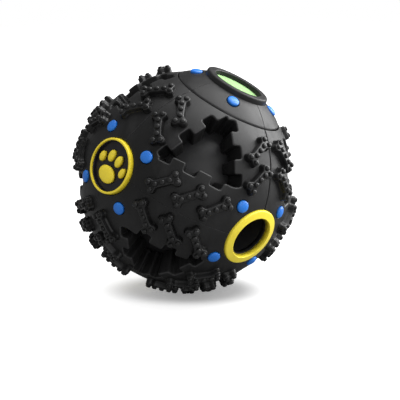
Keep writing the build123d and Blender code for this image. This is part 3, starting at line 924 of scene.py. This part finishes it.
# brighter copy of the yellow plastic for the treat ring: painted light
RING_LIT_YELLOW = moulded_plastic("ring_lit_yellow", (0.97, 0.8, 0.06), (0.9, 0.72, 0.045), 0.26)
BLUE = moulded_plastic("blue_plastic", (0.014, 0.18, 0.66), (0.01, 0.14, 0.56), 0.3)
GREEN = moulded_plastic("green_plastic", (0.3, 0.52, 0.22), (0.26, 0.46, 0.18), 0.35)
TUBE = moulded_plastic("tube_plastic", (0.72, 0.73, 0.72), (0.62, 0.63, 0.62), 0.3)
FOAM = soft_foam()
STEEL = turned_metal("weight_steel", (0.62, 0.62, 0.61), (0.5, 0.49, 0.47), 0.25)
BRASS = turned_metal("reed_brass", (0.8, 0.6, 0.26), (0.66, 0.46, 0.18), 0.22)

NODE_FINISHES = {
    CAPSULE: ("upper_capsule", "lower_capsule", "treat_chute"),
    BADGE_BLACK: [f"{port}_badge_disc" for port in BADGE_PORTS],
    GREEN: ("sounder_cap",),
    TUBE: ("sounder_tube", "sounder_base", "slug_sleeve", "reed_plate"),
    FOAM: ("upper_bumper", "lower_bumper", "slug_wiper", "tube_grommet"),
    STEEL: ("slug_weight",),
    BRASS: ("reed",),
}
for finish, names in NODE_FINISHES.items():
    for name in names:
        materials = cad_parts[name].data.materials
        materials.clear()
        materials.append(finish)


# Tread

panel_nodes = []
for level, level_port in (("upper", "cover"), ("lower", "base")):
    for end in ("treat", "far"):
        for side in ("front", "rear"):
            node = f"{level}_{end}_{side}_panel"
            panel = tread_panel((end, side, level_port))
            solid_piece(f"{level}_{end}_{side}_tread", panel, RUBBER, [node])
            panel_nodes.append(node)

quarters = [bulged(cover_quarter(*pair)) for pair in ((X, Y), (Y, -X), (-X, -Y), (-Y, X))]
solid_piece("cover_tread", joined(quarters + [collar()]), RUBBER, ["sounder_cover"])

lugs = lug_frames()
set_out_piece("lug_bones", bone(), lugs, BALL_RADIUS, LUG_SHADED_RUBBER, panel_nodes)
pegs = []
for out, along in lugs:
    across = np.cross(out, along)
    for x, y in PEG_PLACES:
        pegs.append((unit(out * BALL_RADIUS + along * x + across * y), along))
set_out_piece("lug_pegs", peg(), pegs, BALL_RADIUS, LUG_SHADED_RUBBER, panel_nodes)

# Studs

stud_frames = []
for port, (axis, up) in PORTS.items():
    side = np.cross(axis, up)
    sunk = BASE_SINK if port == "base" else 0.0
    for a, b in ((up, side), (side, -up), (-up, -side), (-side, up)):
        out = stud_direction(axis, (a, b))
        lift = cover_lift(out) - sunk
        stud_frames.append((out * (1 + lift / BALL_RADIUS), np.cross(a, axis)))
set_out_piece("studs", stud(), stud_frames, BALL_RADIUS, BLUE,
              [f"{port}_studs" for port in PORTS])

# Treat ring and badges

TREAT_BORE_RADIUS = 10.4
RING_RADIUS = 15.2
RING_LOW = 49.56
RING_MIDDLE = 52.0  # below this height the ring's inner wall is a black sleeve: painted shade
RING_TOP = 54.56
RING_LAP = 0.3  # the ring reaches this far over the black shade sleeve
RING_FLARE = 1.0
RING_SLOPE = 0.9
SHADE_SLEEVE_STEP = 0.4  # the black shade sleeve is this much smaller than the ring
SHADE_SLEEVE_FLARE = 0.3
shade_sleeve_radius, shade_sleeve_mouth = RING_RADIUS - SHADE_SLEEVE_STEP, TREAT_BORE_RADIUS + SHADE_SLEEVE_FLARE
shade_sleeve_profile = eased([
    (TREAT_BORE_RADIUS, RING_LOW),
    (shade_sleeve_radius, RING_LOW),
    (shade_sleeve_radius, RING_MIDDLE),
    (shade_sleeve_mouth, RING_MIDDLE),
], [0, 0.3, 0.3, 0.4])
ring_profile = eased([
    (shade_sleeve_mouth, RING_MIDDLE - RING_LAP),
    (RING_RADIUS, RING_MIDDLE - RING_LAP),
    (RING_RADIUS, RING_TOP - RING_SLOPE),
    (TREAT_BORE_RADIUS + RING_FLARE, RING_TOP),
], [0, 0.3, 0.6, 0.3], ROUND_STEPS)
# the black sleeve is painted shade on the lower part of the ring's inner wall; the ring's brighter
# yellow is painted light
for name, profile, finish, slot in (
    ("treat_ring_throat", shade_sleeve_profile, CAPSULE, "capsule_plastic"),
    ("treat_ring_body", ring_profile, RING_LIT_YELLOW, "yellow_plastic"),
):
    turned = moved(lathe(profile, RING_SEGMENTS), at_port("treat"))
    solid_piece(name, turned, finish, ["treat_ring"])

BADGE_RADIUS = 13.8
BADGE_FIELD = 11.6
BADGE_FACE = 52.74
BADGE_HEIGHT = 2.5  # of the ring above the face
BADGE_BAND = 1.1
BADGE_DRAFT = 0.15
BADGE_SLOPE = 0.1
BADGE_SEGMENTS = 112
# A black ring inside each badge ring's wall is painted shade on the wall's lower part.
SHADE_RING_BAND = 0.35
SHADE_RING_HEIGHT = 1.56
SHADE_RING_SLOPE = 0.3
badge_inside = BADGE_RADIUS - BADGE_DRAFT - BADGE_BAND
badge_profile = eased([
    (badge_inside + 0.05, 0),
    (BADGE_RADIUS, 0),
    (BADGE_RADIUS - BADGE_DRAFT, BADGE_HEIGHT - BADGE_SLOPE),
    (badge_inside, BADGE_HEIGHT),
], [0, 0, 0.5, 0.3], ROUND_STEPS)
shade_ring_outside = BADGE_RADIUS - BADGE_BAND  # inside the ring's wall
shade_ring_profile = [
    (badge_inside - SHADE_RING_BAND, 0),
    (shade_ring_outside, 0),
    (shade_ring_outside, SHADE_RING_HEIGHT),
    (badge_inside - SHADE_RING_BAND, SHADE_RING_HEIGHT - SHADE_RING_SLOPE),
]
badge_frames = []
for port in BADGE_PORTS:
    lift = 1 - BASE_SINK / BADGE_FACE if port == "base" else 1.0
    badge_frames.append((PORTS[port][0] * lift, at_port(port)[:, 0]))
badge_rings = [f"{port}_badge_ring" for port in BADGE_PORTS]
set_out_piece("badge_rings", lathe(badge_profile, BADGE_SEGMENTS), badge_frames, BADGE_FACE,
              YELLOW, badge_rings)
# painted shade: black rings that darken the lower inner wall of each yellow badge ring
set_out_piece("badge_liners", lathe(shade_ring_profile, BADGE_SEGMENTS), badge_frames, BADGE_FACE,
              BADGE_BLACK, badge_rings)

PAD_RISE = 2.2
PAD_WALL = 0.45  # share of a pad's rise that stands straight
PAD_FLATNESS = 0.7
PAD_SEGMENTS = 48
PADS = (  # width, height, right, up, as shares of the badge's field, and lean
    (0.97, 0.71, -0.04, -0.42, 0),
    (0.34, 0.53, -0.25, 0.36, -3),
    (0.34, 0.53, 0.25, 0.36, 3),
    (0.3, 0.46, -0.71, 0.08, -5),
    (0.3, 0.46, 0.71, 0.08, 5),
)


def paw_pads():
    """Domed pads of a paw on a badge's face."""
    pads = []
    profile = [(0, 0), (1.0, 0), (1.0, PAD_WALL)]
    for turn in np.linspace(0.1, 1, 9) * pi / 2:
        profile.append((cos(turn) ** PAD_FLATNESS, PAD_WALL + (1 - PAD_WALL) * sin(turn)))
    profile[-1] = (0, 1.0)
    for width, height, right, up, lean in PADS:
        size = np.diag([width / 2 * BADGE_FIELD, height / 2 * BADGE_FIELD, PAD_RISE])
        size = np.array(Matrix.Rotation(radians(-lean), 3, "Z")) @ size
        place = (right * BADGE_FIELD, up * BADGE_FIELD, 0)
        pads.append(moved(lathe(profile, PAD_SEGMENTS, closed=False), size, place))
    return joined(pads)


paw_nodes = [f"{port}_paw_{pad}" for port in BADGE_PORTS for pad in ("palm", "toes")]
set_out_piece("paw_pads", paw_pads(), badge_frames, BADGE_FACE, YELLOW,
              paw_nodes)

# Floor, light and camera

FLOOR_HEIGHT = -59.1
FLOOR_REACH = 2000.0
FLOOR_FADE = (110.0, 300.0)  # the camera sees the floor thin out between these distances
# The camera sees less glow in an ellipse under the ball: a painted shadow over the lamps' real
# shadow.
SHADOW_SPREAD = (46.0, 31.0)  # half width and half depth of the shadow, as the camera faces it
SHADOW_EDGE = (0.55, 1.05)  # where the shadow starts to thin out, and where it ends
FLOOR_GLOW = (0.25, 0.66)  # in the shadow and outside it
FLOOR_BOUNCE = 0.34  # how much of the light the floor sends back to the ball
FLOOR_WHITE = 0.97  # as the camera sees it
CAMERA_TURN = 49.75
CAMERA_RISE = 10.8
CAMERA_DISTANCE = 0.6
CAMERA_LENS = 105.0
CAMERA_SENSOR = 36.0
CAMERA_SHIFT = (0.036, -0.0535)
LAMP_DISTANCE = 0.9
LAMP_SIZE = 0.8
WORLD_LEVEL = 0.76
MIRRORED_LEVEL = 0.2  # the room is dark in what the black rubber mirrors
LAMPS = (  # name, turn from the camera, rise, power, whether it lights the floor
    ("top", 102, 74, 6.0, True),
    ("right_high", 96, 43, 7.8, False),
    ("right_low", 114, 17, 10.5, False),
    ("front", 42, 8, 1.9, False),
    ("front_low", 15, 4, 1.0, False),
)


def direction(turn, rise):
    """Direction from the ball, as the views count azimuth and elevation."""
    a, e = radians(turn), radians(rise)
    return Vector((sin(a) * cos(e), -cos(a) * cos(e), sin(e)))


def stage_floor():
    """White floor that the camera sees as the background, with the ball's real shadow and a painted
    shadow on it.
    """
    mesh = bpy.data.meshes.new("floor")
    reach, height = FLOOR_REACH * MM, FLOOR_HEIGHT * MM
    corners = ((-reach, -reach), (reach, -reach), (reach, reach), (-reach, reach))
    mesh.from_pydata([(x, y, height) for x, y in corners], [], [(0, 1, 2, 3)])
    floor = linked("floor", mesh)
    finish = Finish("floor_white", Roughness=1.0, Specular_IOR_Level=0.0)
    seen = finish.node("ShaderNodeLightPath", output="Is Camera Ray")
    finish.feed(finish.shader.inputs["Base Color"],
                finish.mix(seen, rgb(*[FLOOR_BOUNCE] * 3), rgb(*[FLOOR_WHITE] * 3)))
    far = finish.node("ShaderNodeVectorMath", {"operation": "LENGTH"}, {0: finish.place}, "Value")
    fade = finish.ramp(far, FLOOR_FADE[0] * MM, FLOOR_FADE[1] * MM)
    under = finish.node("ShaderNodeNewGeometry", output="Backfacing")
    finish.feed(finish.shader.inputs["Alpha"], 1 - seen * fade.maths("MAXIMUM", fade, under))
    # painted shadow: less glow for the camera inside an ellipse under the ball
    spread = finish.node("ShaderNodeMapping", {"vector_type": "TEXTURE"}, {
        "Vector": finish.place, "Rotation": (0, 0, radians(CAMERA_TURN)),
        "Scale": (SHADOW_SPREAD[0] * MM, SHADOW_SPREAD[1] * MM, 1)})
    out = finish.node("ShaderNodeVectorMath", {"operation": "LENGTH"}, {0: spread}, "Value")
    level = finish.node("ShaderNodeMapRange", {"interpolation_type": "SMOOTHSTEP"},
                        enumerate((out, *SHADOW_EDGE, *FLOOR_GLOW)))
    glow = finish.tree.nodes.new("ShaderNodeEmission")
    finish.feed(glow.inputs["Strength"], seen * level * (1 - under))
    both = finish.tree.nodes.new("ShaderNodeAddShader")
    output = finish.tree.nodes["Material Output"]
    finish.tree.links.new(finish.shader.outputs[0], both.inputs[0])
    finish.tree.links.new(glow.outputs[0], both.inputs[1])
    finish.tree.links.new(both.outputs[0], output.inputs["Surface"])
    mesh.materials.append(finish.material)
    return floor


def lamp(name, turn, rise, power, shaded_from=None):
    """Square soft lamp that faces the ball; it can be shaded from the floor."""
    light = bpy.data.lights.new(name, "AREA")
    light.size = LAMP_SIZE
    light.energy = power
    made = linked(name, light)
    way = direction(CAMERA_TURN + turn, rise)
    made.location = way * LAMP_DISTANCE
    made.rotation_euler = way.to_track_quat("Z", "Y").to_euler()
    if shaded_from:
        lit = bpy.data.collections.new(f"{name}_lit")
        lit.objects.link(shaded_from)
        lit.collection_objects[0].light_linking.link_state = "EXCLUDE"
        made.light_linking.receiver_collection = lit


def white_world():
    """Even soft light: white to the camera, darker in what the rubber mirrors."""
    world = bpy.data.worlds.new("studio")
    bpy.context.scene.world = world
    world.use_nodes = True
    nodes, links = world.node_tree.nodes, world.node_tree.links
    background = nodes["Background"]
    background.inputs["Color"].default_value = rgb(1, 1, 1)
    path = nodes.new("ShaderNodeLightPath").outputs
    mirrored, level = nodes.new("ShaderNodeMapRange"), nodes.new("ShaderNodeMapRange")
    mirrored.inputs["To Min"].default_value = WORLD_LEVEL
    mirrored.inputs["To Max"].default_value = MIRRORED_LEVEL
    links.new(path["Is Glossy Ray"], mirrored.inputs["Value"])
    links.new(mirrored.outputs["Result"], level.inputs["To Min"])
    links.new(path["Is Camera Ray"], level.inputs["Value"])
    links.new(level.outputs["Result"], background.inputs["Strength"])


def camera():
    """Camera at the photograph's viewing angle."""
    lens = bpy.data.cameras.new("camera")
    lens.lens = CAMERA_LENS
    lens.sensor_width = CAMERA_SENSOR
    lens.shift_x, lens.shift_y = CAMERA_SHIFT
    made = linked("camera", lens)
    way = direction(CAMERA_TURN, CAMERA_RISE)
    made.location = way * CAMERA_DISTANCE
    made.rotation_euler = (-way).to_track_quat("-Z", "Y").to_euler()
    bpy.context.scene.camera = made


floor = stage_floor()
white_world()
for name, turn, rise, power, lights_floor in LAMPS:
    lamp(name, turn, rise, power, None if lights_floor else floor)
camera()
bpy.context.scene.view_settings.view_transform = "Standard"
